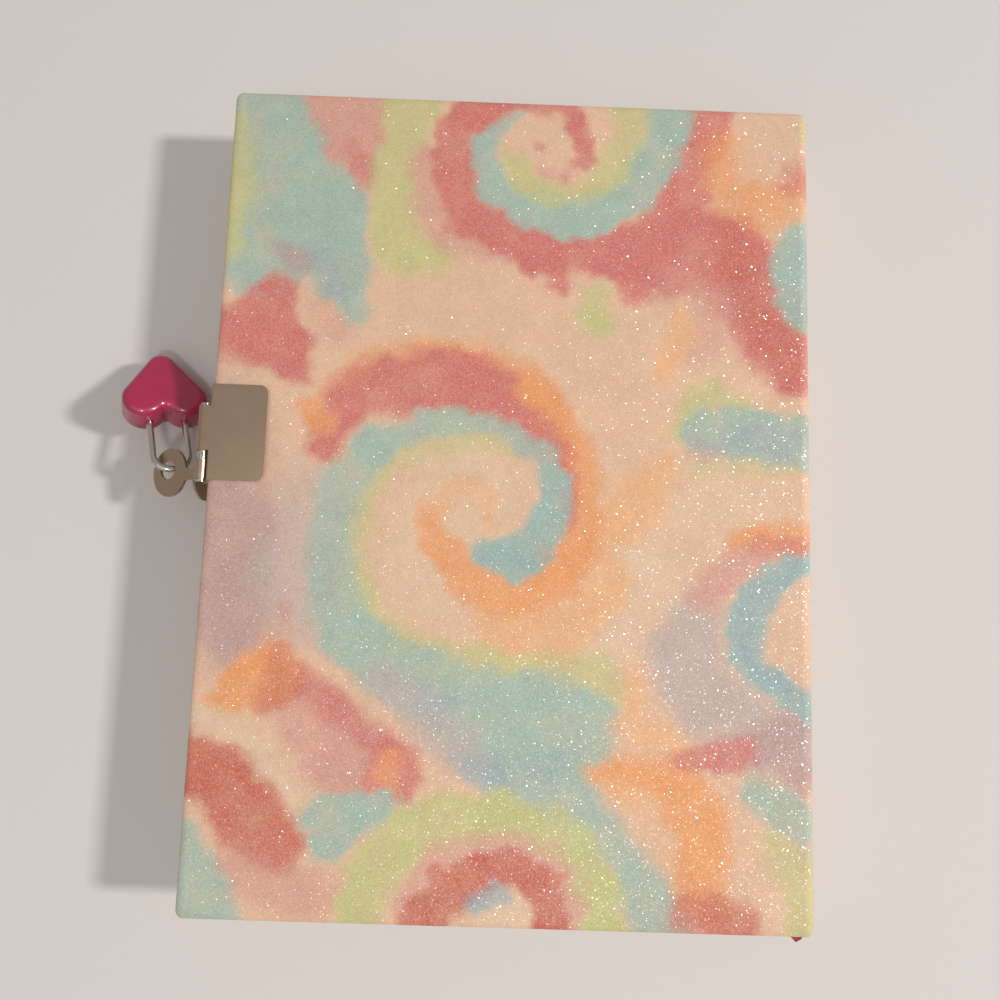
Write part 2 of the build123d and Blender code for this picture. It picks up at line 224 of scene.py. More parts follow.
def weld(obj, outward=False):
    """Merge points that coincide, and turn a closed piece's faces outwards."""
    work = bmesh.new()
    work.from_mesh(obj.data)
    bmesh.ops.remove_doubles(work, verts=work.verts, dist=1e-7)
    bmesh.ops.dissolve_degenerate(work, edges=work.edges, dist=1e-8)
    if outward:
        bmesh.ops.recalc_face_normals(work, faces=work.faces)
    work.to_mesh(obj.data)
    work.free()


def twisted_cord(x, y, low, high, radius, plies, lay):
    """Cord along Z: its radius swells once for each ply round the turn, and the swell winds with height,
    once round in each lay. Between two plies it is down to 0.86 of the radius."""
    rings, sides, groove = 70, 37, 0.14
    height = np.linspace(low, high, rings)[:, None]
    turn = np.linspace(0, 2 * np.pi, sides)[None, :]
    bulge = np.abs(np.cos(plies * (turn + 2 * np.pi * height / lay) / 2))
    swell = radius * (1 - groove + groove * bulge)
    ends = np.ones_like(height)
    ends[[0, -1]] = 0.0
    reach = swell * ends
    return np.stack([x + reach * np.cos(turn), y + reach * np.sin(turn), height + 0 * turn], -1)


def slab(low, high, steps):
    """Closed flat slab: its section in X and Y is carried up in Z and drawn in to its middle at both ends."""
    (x0, y0, z0), (x1, y1, z1) = low, high
    x = np.array([x0, x1, x1, x0, x0])[None, :]
    y = np.array([y0, y0, y1, y1, y0])[None, :]
    height = np.concatenate([[z0], np.linspace(z0, z1, steps), [z1]])[:, None]
    keep = np.ones_like(height)
    keep[[0, -1]] = 0.0
    middle_x, middle_y = (x0 + x1) / 2, (y0 + y1) / 2
    return np.stack([middle_x + (x - middle_x) * keep, middle_y + (y - middle_y) * keep, height + 0 * x], -1)


# Stripes of the two yarns every 1 mm along the cord, a little distorted.
cotton, shader = new_finish("twisted_cotton_cord")
place = put(cotton, "ShaderNodeTexCoord", {}).outputs["Object"]
yarn = put(
    cotton,
    "ShaderNodeTexWave",
    {"Vector": place, "Scale": 330.0, "Distortion": 2.0},
    bands_direction="Z",
)
cotton_colour = put(
    cotton,
    "ShaderNodeMix",
    {0: yarn.outputs["Fac"], 6: linear("#d9a6a0"), 7: linear("#f2ebdd")},
    data_type="RGBA",
)
yarn_bump = put(
    cotton,
    "ShaderNodeBump",
    {"Height": yarn.outputs["Fac"], "Strength": 0.4, "Distance": 0.0001},
)
wire(
    shader,
    {
        "Base Color": cotton_colour.outputs[2],
        "Roughness": 0.9,
        "Specular IOR Level": 0.2,
        "Sheen Weight": 0.3,
        "Normal": yarn_bump.outputs[0],
    },
)
band_radius = 0.9
band_plies = 3
band_lay = 3.2
tape_thickness = 0.4
tape_width = 10.0
tape_gap = 0.2
tape_steps = 12
for name, end in (("head_band", 1), ("tail_band", -1)):
    low, high = (np.array(corner) * 1000 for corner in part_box(name))
    bead_y = high[1] - band_radius if end > 0 else low[1] + band_radius
    tape_x = high[0] - tape_gap
    tape_end_y = bead_y - end * tape_width
    tape_low = (tape_x - tape_thickness, min(bead_y, tape_end_y), low[2])
    tape_high = (tape_x, max(bead_y, tape_end_y), high[2])
    band = surface(
        name + "_cord",
        [
            twisted_cord(low[0] + band_radius, bead_y, low[2], high[2], band_radius, band_plies, band_lay),
            slab(tape_low, tape_high, tape_steps),
        ],
    )
    weld(band, outward=True)
    dress(band, cotton)
    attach(band, "front_cover")
    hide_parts(name)

# Ribbon marker: satin ribbon glued at the head, lying in the gutter, its cut end slanting out at the tail.
# Woven polyester satin with a silky sheen along the threads.

ribbon_width = 3.0
ribbon_thickness = 0.18
ribbon_bend_y = -97.8
ribbon_slant = 7.0
ribbon_low, ribbon_high = (np.array(corner) * 1000 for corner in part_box("ribbon_marker"))
ribbon_x = ribbon_low[0] + ribbon_width / 2
ribbon_z = (ribbon_low[2] + ribbon_high[2]) / 2


def ribbon_band(head_y, bend_y, slant, width, thickness):
    """Flat strip: straight from the head to the bend, then round a short curve and off at 45 degrees.
    Its section is a thin lens with blunt edges."""
    ease_in, aside = 2.0, np.pi / 4
    straight = np.linspace(head_y, bend_y + ease_in, 90)
    curve = np.linspace(0, aside, 14)[1:]
    bend_radius = ease_in / np.tan(aside / 2)
    run = np.linspace(0, slant, 16)[1:]
    x = np.concatenate([0 * straight, bend_radius * (1 - np.cos(curve))])
    y = np.concatenate([straight, bend_y + ease_in - bend_radius * np.sin(curve)])
    heading = np.concatenate([0 * straight, curve, 0 * run + aside])
    x = np.concatenate([x, x[-1] + run * np.sin(aside)])
    y = np.concatenate([y, y[-1] - run * np.cos(aside)])
    side_x, side_y = np.cos(heading), np.sin(heading)
    around = np.linspace(0, 2 * np.pi, 33)[None, :]
    across = width / 2 * np.sign(np.cos(around)) * np.abs(np.cos(around)) ** 0.6
    depth = thickness / 2 * np.sin(around)
    keep = np.ones_like(x)
    keep[[0, -1]] = 0.0
    points = [
        ribbon_x + x[:, None] + side_x[:, None] * across * keep[:, None],
        y[:, None] + side_y[:, None] * across * keep[:, None],
        ribbon_z + depth * keep[:, None],
    ]
    return np.stack(points, -1)


satin, shader = new_finish("dark_red_satin")
place = put(satin, "ShaderNodeTexCoord", {}).outputs["Object"]
# Thread lines every 0.2 mm along the ribbon, coarser than satin's 0.08 mm so that they show.
thread_run = put(satin, "ShaderNodeMapping", {"Vector": place, "Scale": (5000, 300, 300)})
threads = put(satin, "ShaderNodeTexNoise", {"Vector": thread_run.outputs[0], "Scale": 1.0, "Detail": 2.0})
satin_colour = put(
    satin,
    "ShaderNodeMix",
    {0: threads.outputs[0], 6: linear("#6d1420"), 7: linear("#a32a36")},
    data_type="RGBA",
)
thread_bump = put(
    satin,
    "ShaderNodeBump",
    {"Height": threads.outputs[0], "Strength": 0.3, "Distance": 0.00005},
)
wire(
    shader,
    {
        "Base Color": satin_colour.outputs[2],
        "Roughness": 0.38,
        "Sheen Weight": 0.4,
        "Sheen Tint": linear("#d98088"),
        "Normal": thread_bump.outputs[0],
    },
)
ribbon = surface(
    "satin_ribbon",
    [ribbon_band(ribbon_high[1], ribbon_bend_y, ribbon_slant, ribbon_width, ribbon_thickness)],
)
weld(ribbon, outward=True)
dress(ribbon, satin)
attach(ribbon, "back_leaves")
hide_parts("ribbon_marker")

# Boards: grey millboard cut for the two covers and the spine, seen only along the joints.
# Matt pressed pulp with darker flecks of about 0.7 mm.

greyboard, shader = new_finish("grey_millboard")
place = put(greyboard, "ShaderNodeTexCoord", {}).outputs["Object"]
pulp = put(
    greyboard,
    "ShaderNodeTexNoise",
    {"Vector": place, "Scale": 1500.0, "Detail": 6.0, "Roughness": 0.7},
)
pulp_colour = put(
    greyboard,
    "ShaderNodeMix",
    {0: pulp.outputs[0], 6: linear("#6f6a61"), 7: linear("#a9a294")},
    data_type="RGBA",
)
wire(shader, {"Base Color": pulp_colour.outputs[2], "Roughness": 0.92, "Specular IOR Level": 0.2})
for name in ("front_board", "back_board", "spine_board"):
    dress(nodes[name], greyboard)

# Wrapping: one printed and glitter-coated paper drawn round both boards and the spine and turned in.
# Its edges roll over the boards, and it is pressed in under each clasp plate.

book_thickness = 21.0
fore_x = -75.0
half_height = 102.5
joint_x = 72.0
joint_radius = 3.0
panel = 2.5
roll = 2.0
roll_depth = 0.6
inner_roll = 0.5
turn_in = 4.5
grid_step = 0.65
plate_end_x = -61.5
plate_y = 12.4
plate_half = 12.1
plate_corner = 2.0
press_width = 0.6
press_rim = 0.2
press_seat = 0.45
spine_low, spine_high = 3.0, 18.0
board_end_x = 70.0
paper_thickness = 0.3
paper_back = "#cfc5b4"
back_inset = 0.4
print_overlap = 12.0
sheet_middle = joint_x + joint_radius * np.pi / 2 + (spine_high - spine_low) / 2


def eased(share):
    """Smooth step from 0 to 1: three times the square less twice the cube."""
    return share * share * (3 - 2 * share)


def press_depth(x, y):
    """How deep the cover is pressed in at a clasp plate: a dip that starts just outside the plate's outline
    and falls under it, from the signed distance to a rectangle with rounded corners."""
    along = x - (plate_end_x - plate_corner)
    across = np.abs(y - plate_y) - (plate_half - plate_corner)
    outside = np.hypot(np.maximum(along, 0), np.maximum(across, 0))
    away = outside + np.minimum(np.maximum(along, across), 0) - plate_corner
    rim = np.clip((press_width - away) / press_width, 0, 1)
    under = np.clip(-away / press_width, 0, 1)
    return press_rim * eased(rim) + press_seat * eased(under)


def mottle(x, y, size, seed):
    """Smooth random field from -1 to 1: random numbers on a square lattice of that size, eased between.
    The lattice has 128 cells each way, and its corner is set off from the sheet's origin."""
    cells, offset_x, offset_y = 128, 31.7, 47.3
    lattice = np.random.default_rng(seed).uniform(-1, 1, (cells, cells))
    along, up = x / size + offset_x, y / size + offset_y
    i, j = np.floor(along).astype(int), np.floor(up).astype(int)
    a, b = along - i, up - j
    a, b = eased(a), eased(b)
    i, j, k, m = i % cells, j % cells, (i + 1) % cells, (j + 1) % cells
    low = lattice[i, j] * (1 - a) + lattice[k, j] * a
    high = lattice[i, m] * (1 - a) + lattice[k, m] * a
    return low * (1 - b) + high * b


# Dyes as they look when dry on the paper.
dyes = {
    "peach": "#ddb290",
    "cream": "#dbba98",
    "coral": "#cb685c",
    "brick": "#c15840",
    "pink": "#ce8f7c",
    "mauve": "#b28b87",
    "mist": "#b8a49c",
    "orange": "#e59350",
    "apricot": "#e7a972",
    "lime": "#bebb77",
    "aqua": "#9cb2a1",
    "teal": "#8eaca5",
    "slate": "#94a3a5",
}

# Pours: dye, strength, width of the bleed, then x, y and half width along the line it was poured,
# in millimetres on the back cover's outer face.
pours = (
    ("mauve", 0.9, 11.5, ((-73, 16, 9), (-71, -14, 14), (-66, -34, 10))),
    ("mist", 0.7, 8.5, ((-50, -4, 8), (-47, -30, 8), (-56, -22, 8))),
    ("cream", 0.7, 10, ((-12, -2, 12), (-20, -20, 10))),
    ("cream", 0.7, 11.5, ((32, -18, 9), (26, -36, 8))),
    ("cream", 0.5, 10, ((60, 2, 6), (44, 0, 6))),
    ("aqua", 1.0, 4.5, ((-67, 101, 9), (-62, 86, 12), (-57, 72, 17), (-64, 58, 11))),
    ("aqua", 0.95, 4.5, ((-50, 68, 11), (-46, 57, 8), (-41, 46, 3))),
    ("lime", 0.85, 4.5, ((-75, 94, 3), (-74.5, 76, 4.5), (-75, 61, 3))),
    ("pink", 0.95, 4.5, ((-46, 102, 11), (-43, 91, 8), (-40.5, 83, 4))),
    ("coral", 0.8, 3.5, ((-44, 88, 1.5), (-40.5, 83.5, 2.5))),
    ("lime", 0.95, 4.5, (
        (-29, 101, 7), (-31, 90, 4.5), (-33, 79, 5), (-31, 68, 6), (-29, 62, 7), (-20, 60, 4),
    )),
    ("pink", 0.75, 6, ((-25, 87, 3), (-24, 73, 4), (-16, 65, 4), (-8, 61, 3))),
    ("coral", 1.0, 3.5, (
        (-9, 102, 6), (-17, 93, 5), (-18, 82, 5), (-13, 72, 5), (-4, 66, 5.5), (5, 62, 6),
    )),
    ("coral", 1.0, 3.5, (
        (5, 62, 6), (16, 62, 5), (26, 62, 7), (35, 66, 7), (42, 77, 6), (46, 90, 6), (49, 102, 6),
    )),
    ("coral", 1.0, 5, ((32, 61, 9), (44, 64, 11), (54, 62, 11), (59, 51, 9), (66, 41, 8), (71, 32, 5))),
    ("brick", 0.7, 6.5, ((55, 66, 4), (58, 53, 5), (67, 40, 5), (72, 31, 3))),
    ("coral", 0.9, 3.5, ((9, 60, 3), (9, 52, 1.5))),
    ("coral", 0.8, 4.5, ((28, 57, 3), (29, 51, 1.5))),
    ("pink", 0.6, 8.5, ((40, 52, 4), (50, 48, 6), (46, 40, 5))),
    ("aqua", 0.9, 3, ((-1, 99.3, 0.4), (-5.5, 96, 1.4), (-10.5, 91, 2.2))),
    ("aqua", 1.0, 3, ((-10.5, 91, 2.2), (-10.5, 85, 2.8), (-6.5, 78, 3.6), (2, 73, 4.3), (12, 71.5, 4.5))),
    ("aqua", 1.0, 3, ((12, 71.5, 4.5), (22, 74, 5))),
    ("aqua", 1.0, 3, ((22, 74, 5), (30, 80, 5), (35, 88, 5.5), (38, 97, 6), (39, 103, 6))),
    ("lime", 0.75, 3.5, (
        (-5, 88, 1.5), (0, 81, 3), (8, 77.5, 2.5), (17, 79, 3), (24, 85, 4), (28, 93, 4), (28, 103, 4),
    )),
    ("coral", 0.95, 3, ((-9, 103.5, 3), (2, 103.5, 3.2), (11, 102.5, 2.8), (14.5, 98.5, 1.6))),
    ("coral", 0.95, 3, ((14.5, 98.5, 1.6), (16, 93, 1.5), (17.3, 88.5, 1.4), (13.5, 86.8, 0.5))),
    ("pink", 0.55, 3.5, ((13, 86, 1.5), (10, 82.5, 1.5), (5, 84, 1))),
    ("coral", 0.6, 2.2, ((10, 83.2, 0.3), (10.2, 82.6, 0.3))),
    ("pink", 0.9, 2, ((4.7, 84, 0.1), (4.8, 83.6, 0.1))),
    ("pink", 1.0, 2.2, ((3.8, 91.4, 0.3), (3.9, 90.8, 0.3))),
    ("orange", 0.9, 9, ((54, 90, 5), (56, 80, 6.5), (63, 76, 6), (72, 80, 3))),
    ("peach", 0.75, 6.5, ((63, 89, 6), (68, 98, 8))),
    ("coral", 0.6, 5, ((70, 82, 2), (74, 88, 2))),
    ("lime", 0.7, 3.5, ((75, 101, 3), (73, 99, 2))),
    ("aqua", 1.0, 3, ((77, 61, 11.5), (77, 53, 10))),
    ("slate", 0.4, 5, ((75, 62, 5), (75, 52, 5))),
    ("apricot", 0.8, 3.5, ((41, 49, 1), (41.5, 41, 2), (38, 32, 2))),
    ("lime", 0.9, 5, ((20, 50, 3), (20, 46, 4))),
    ("coral", 1.0, 4.5, ((-62, 46, 7), (-63, 39, 9), (-57, 34, 6), (-53, 30, 3))),
    ("coral", 0.8, 5, ((-74, 37, 5), (-66, 34, 4))),
    ("mauve", 0.7, 4.5, ((-61, 60, 1.5), (-55, 57, 3))),
    ("slate", 0.7, 5, ((-50, 59, 3), (-46, 50, 2.5))),
    ("pink", 0.5, 6, ((-49, 44, 3), (-45, 40, 3))),
    ("lime", 0.85, 4.5, ((42, 16, 2.5), (45, 23, 3), (50, 25.5, 3), (56, 23, 2))),
    ("aqua", 1.0, 3.5, ((46, 16, 4), (56, 16, 6), (66, 15.5, 6), (76, 14, 6))),
    ("slate", 0.7, 5, ((50, 13, 2), (58, 14, 3), (67, 14, 4))),
    ("mauve", 0.4, 3.5, ((46, 12, 2), (50, 11, 1.5))),
    ("lime", 0.4, 3.5, ((46, 8, 1.5), (70, 7.5, 1.5))),
    ("orange", 0.7, 5, (
        (-44, 24, 3), (-36, 31, 4), (-24, 34, 3.5), (-10, 33, 3.5), (0, 29, 4), (8, 22, 4),
    )),
    ("coral", 0.95, 4.5, (
        (-47, 9, 3), (-45, 17, 4.5), (-39, 23.5, 6), (-30, 26.5, 7.2), (-20, 27, 7.6), (-10, 26, 7.4),
    )),
    ("coral", 0.95, 4.5, ((-10, 26, 7.4), (-2, 23, 6.5), (5, 17, 5.5), (11, 9, 3.5))),
    ("orange", 0.9, 3.5, ((-51, 20, 2.5), (-48, 17, 2.5))),
    ("apricot", 0.9, 6, ((18, -6, 8), (12, -22, 10), (2, -31, 10), (10, -36, 7), (20, -22, 9))),
    ("apricot", 0.95, 6, ((38, 7, 2.5), (33, 1, 4.5), (28, -9, 4))),
    ("orange", 1.0, 4.5, (
        (4, 27, 2.5), (9, 21, 3.5), (14, 11, 4.5), (17, 1, 4.5), (17, -9, 4.5), (13, -18, 5),
    )),
    ("orange", 0.95, 4.5, (
        (13, -18, 4.5), (6, -24, 4.5), (-3, -25, 4.5),
        (-11, -21, 4.5), (-17.5, -13, 3.5), (-19.5, -6, 2.2),
    )),
    ("coral", 0.9, 4, ((0, 20, 3.5), (7, 14.5, 3.2), (12, 7, 2.8), (14.5, -1, 2.2), (14.5, -7, 1.2))),
    ("apricot", 0.7, 4.5, ((-18, -4, 2), (-13, 0, 2), (-6, -2, 2), (-5, -8, 1.5))),
    ("lime", 0.7, 4.5, (
        (0, 10.5, 2), (-10, 13, 2.5), (-24, 11, 2.5), (-32, 5, 3),
        (-37, -5, 3), (-38.5, -16, 3), (-35, -28, 3),
    )),
    ("lime", 0.8, 4.5, (
        (-35, -28, 3), (-26, -37, 3.5), (-14, -42, 3.5), (0, -43, 3),
        (12, -43, 4), (22, -44, 4), (27, -48, 3),
    )),
    ("teal", 1.0, 3, (
        (-5, -16, 3.2), (0, -17, 4.2), (5, -14.5, 5), (9, -9, 4.2), (11, -3, 3.4), (10.8, 3, 2.6),
    )),
    ("aqua", 1.0, 3.5, (
        (10.6, 4, 2.6), (7, 9.8, 2.4), (0.5, 14.2, 2.3), (-8, 16.4, 2.3),
        (-18, 16.2, 2.5), (-28, 14, 3.3), (-35, 9.5, 4.6),
    )),
    ("aqua", 0.85, 5, (
        (-35, 9.5, 4.6), (-41, 2, 5), (-44, -8, 5), (-44, -18, 5.5), (-42, -28, 6), (-36, -37, 6.5),
    )),
    ("aqua", 1.0, 4.5, (
        (-36, -37, 6.5), (-26, -44, 7), (-14, -50, 8), (-4, -54, 9), (8, -56, 12), (19, -57, 9),
    )),
    ("aqua", 1.0, 5, ((4, -66, 8), (14, -72, 7), (20, -80, 5), (32, -86, 6), (37, -96, 7), (38, -104, 7))),
    ("mist", 0.8, 6, ((-30, -46, 3), (-16, -58, 5), (-10, -62, 5))),
    ("slate", 0.8, 5, ((-7, -65, 3.5), (-2, -67, 3), (0, -72, 2))),
    ("slate", 0.45, 4.5, ((-18, -52, 2.5), (-14, -53, 2))),
    ("slate", 0.4, 5, ((8, -69, 2.5), (14, -62, 2))),
    ("mist", 0.95, 8.5, ((46, -30, 6), (44, -42, 9), (52, -52, 8), (64, -57, 8), (74, -57, 6))),
    ("mauve", 0.85, 7, ((75, -54, 4), (62, -58, 4), (72, -65, 4))),
    ("pink", 0.85, 5, ((49, -24, 3), (55, -17, 4), (63, -12, 4), (72, -12, 3))),
    ("apricot", 0.7, 6, ((31, -44, 2), (30, -56, 3), (40, -60, 3))),
    ("orange", 0.9, 4.5, ((57, -10, 2), (64, -8.5, 3), (76, -9, 3.5))),
    ("coral", 0.6, 3.5, ((62, -12, 2), (76, -12, 2))),
    ("peach", 0.95, 3.5, ((75, -33, 12), (73, -34, 11))),
    ("teal", 1.0, 3, (
        (76, -15, 2), (68, -17.5, 3), (61, -24, 3.5), (57.5, -32, 4),
        (60, -41, 3.5), (66, -46, 3), (75, -50, 3),
    )),
    ("slate", 0.8, 3, ((70, -16.5, 1), (62, -23, 1.5), (57, -32, 2), (61, -41, 1.5), (70, -48, 1))),
    ("apricot", 1.0, 4.5, ((23, -68, 1.5), (32, -70, 5), (40, -74, 8), (46, -81, 9), (48, -93, 7))),
    ("orange", 0.9, 6, ((22, -67.5, 1), (30, -66.5, 2.5), (40, -68, 3.5), (46, -76, 6), (48, -88, 6))),
    ("peach", 0.8, 6, ((34, -78, 4), (38, -84, 3))),
    ("coral", 0.9, 3.5, ((42, -64, 1.5), (50, -62, 3), (59, -60, 2.5))),
    ("aqua", 0.9, 4.5, ((60, -69, 3), (66, -74, 5), (71, -78, 4))),
    ("brick", 0.9, 6, ((45, -98, 5.5), (55, -101, 5.5))),
    ("peach", 0.7, 6, ((60, -90, 4), (60, -82, 3))),
    ("lime", 0.85, 5, ((63, -82, 2), (70, -88, 4), (73, -100, 4))),
    ("pink", 0.6, 4.5, ((-54, -30, 0.8), (-53, -38, 2))),
    ("pink", 0.9, 5, ((-52, -51, 6), (-44, -58, 8.5), (-37, -66, 8.5))),
    ("coral", 0.7, 4.5, ((-50, -46, 3), (-43, -52, 3), (-35, -57.5, 3), (-28, -62, 3.5))),
    ("coral", 0.9, 4, ((-27, -62, 3.5), (-25.5, -67, 6), (-25, -69.5, 6))),
    ("orange", 0.75, 4.5, ((-27, -64, 1.5), (-27, -69, 2.5))),
    ("orange", 1.0, 4, ((-70, -52.5, 1), (-64, -49.5, 4.5), (-57, -46, 7), (-55, -44, 5))),
    ("brick", 0.6, 5, ((-54.5, -42, 3), (-52, -48, 4), (-57, -53, 2.5))),
    ("cream", 0.9, 4.5, ((-74, -56, 2.5), (-65, -61, 3.5), (-59, -67, 3.5), (-52, -73, 3))),
    ("brick", 1.0, 4.5, ((-76, -65, 6), (-67, -71, 7), (-59, -79, 8), (-52, -84, 6))),
    ("pink", 0.7, 6, ((-62, -90, 4), (-50, -95, 6), (-42, -97, 5))),
    ("aqua", 1.0, 5, ((-76, -84, 4), (-73, -95, 9), (-64, -103, 5))),
    ("aqua", 1.0, 3.5, ((-42, -78, 4.5), (-36, -78, 5), (-28, -76, 3), (-40, -85, 4))),
    ("lime", 1.0, 4.5, ((-34, -103, 4), (-30, -92, 5), (-22, -83, 5.5), (-10, -78, 5), (0, -77.5, 4.5))),
    ("lime", 1.0, 4.5, ((0, -77.5, 4.5), (10, -80, 4.5), (19, -86, 4.5), (24, -95, 4.5), (25, -104, 4))),
    ("pink", 0.7, 3.5, ((-21, -98, 2), (-15, -88, 2.5), (-2, -83.5, 2.5), (11, -87, 2.5), (18, -97, 2.5))),
    ("brick", 1.0, 3, (
        (-17, -102, 4), (-11.5, -93.5, 4), (-4, -89.5, 4), (4, -90, 4), (10, -94, 4), (13.5, -103, 4),
    )),
    ("cream", 0.9, 3, ((-2, -101, 4), (3, -100, 4))),
    ("slate", 0.8, 3, ((-7, -97.5, 1.5), (-2, -95, 1.5), (2, -97, 1))),
    ("coral", 0.9, 6, ((77, 84, 3), (86, 76, 6))),
    ("lime", 0.85, 6, ((79, 34, 3), (86, 28, 5))),
    ("mist", 0.8, 7, ((79, -58, 4), (88, -62, 6))),
    ("orange", 0.85, 5, ((79, -10, 3), (87, -16, 4))),
    ("aqua", 0.9, 6, ((78, -84, 3), (87, -90, 6))),
    ("teal", 0.8, 5, ((80, 8, 3), (88, 4, 4))),
)


def dye_colour(x, y):
    """Dyed paper at places of the flat sheet, in millimetres: dyes poured in turn on a peach ground.
    A pour covers all within its half width and the swell of a bent line, then fades over its bleed.
    Each place is first shifted by random fields of 11, 4 and 1.6 mm, so that every edge wanders and frays."""
    shift = (11.0, 1.2), (4.2, 1.1), (1.6, 0.4)
    warp_x = x + sum(reach * mottle(x, y, size, 11 + k) for k, (size, reach) in enumerate(shift))
    warp_y = y + sum(reach * mottle(x, y, size, 21 + k) for k, (size, reach) in enumerate(shift))
    swell = 0.7
    fray = 0.7 * mottle(x, y, 2.6, 41) + 0.3 * mottle(x, y, 1.3, 42) - swell
    strong = 0.88 + 0.14 * mottle(x, y, 6.0, 43) + 0.08 * mottle(x, y, 2.4, 44)
    ink = {name: np.array(linear(code)[:3]) for name, code in dyes.items()}
    colour = np.broadcast_to(ink["peach"], x.shape + (3,)).copy()
    for dye, strength, bleed, line in pours:
        away = np.full(x.shape, np.inf)
        for (ax, ay, a_half), (bx, by, b_half) in zip(line[:-1], line[1:]):
            run_x, run_y = bx - ax, by - ay
            part = np.clip(((warp_x - ax) * run_x + (warp_y - ay) * run_y) / (run_x**2 + run_y**2), 0, 1)
            gap = np.hypot(warp_x - ax - part * run_x, warp_y - ay - part * run_y)
            away = np.minimum(away, gap - a_half - part * (b_half - a_half))
        share = np.clip(0.5 - (away + fray) / bleed, 0, 1)
        share = np.clip(strength * strong * eased(share), 0, 1)
        colour += (ink[dye] - colour) * share[..., None]
    grain = 1 + 0.04 * mottle(x, y, 1.1, 31) + 0.04 * mottle(x, y, 5.0, 32)
    return np.clip(colour * grain[..., None], 0, 1)


def sheet_colour(along, y):
    """The print on the whole sheet: the back cover's half, then the same half turned round for the front
    cover, the two running into each other over the overlap on the spine."""
    share = eased(np.clip((along - sheet_middle) / print_overlap + 0.5, 0, 1))[..., None]
    return dye_colour(along, y) * (1 - share) + dye_colour(2 * sheet_middle - along, -y) * share


def print_dye(obj, along, y, bare=0):
    """Keep the dye of each point as the piece's own colour. The last points are the paper's bare back."""
    colour = np.ones((along.size + bare, 4), np.float32)
    colour[: along.size, :3] = sheet_colour(along, y)
    colour[along.size :] = linear(paper_back)
    layer = obj.data.attributes.new("dye", "FLOAT_COLOR", "POINT")
    layer.data.foreach_set("color", colour.ravel())


def edge_profile():
    """Section of the wrapped edge, from the face outwards: overhang, depth and length along the paper.
    A flat quarter oval over the outer edge, a straight side, a quarter round and the turn-in."""
    quarter = np.linspace(0, np.pi / 2, 9)
    sine, fall = np.sin(quarter), 1 - np.cos(quarter)
    over = np.concatenate([roll * sine, roll - inner_roll * fall])
    depth = np.concatenate([roll_depth * fall, panel - inner_roll + inner_roll * sine])
    over = np.append(over, [0.0, roll - turn_in])
    depth = np.append(depth, [panel, panel])
    length = np.concatenate([[0], np.cumsum(np.hypot(np.diff(over), np.diff(depth)))])
    return over, depth, length


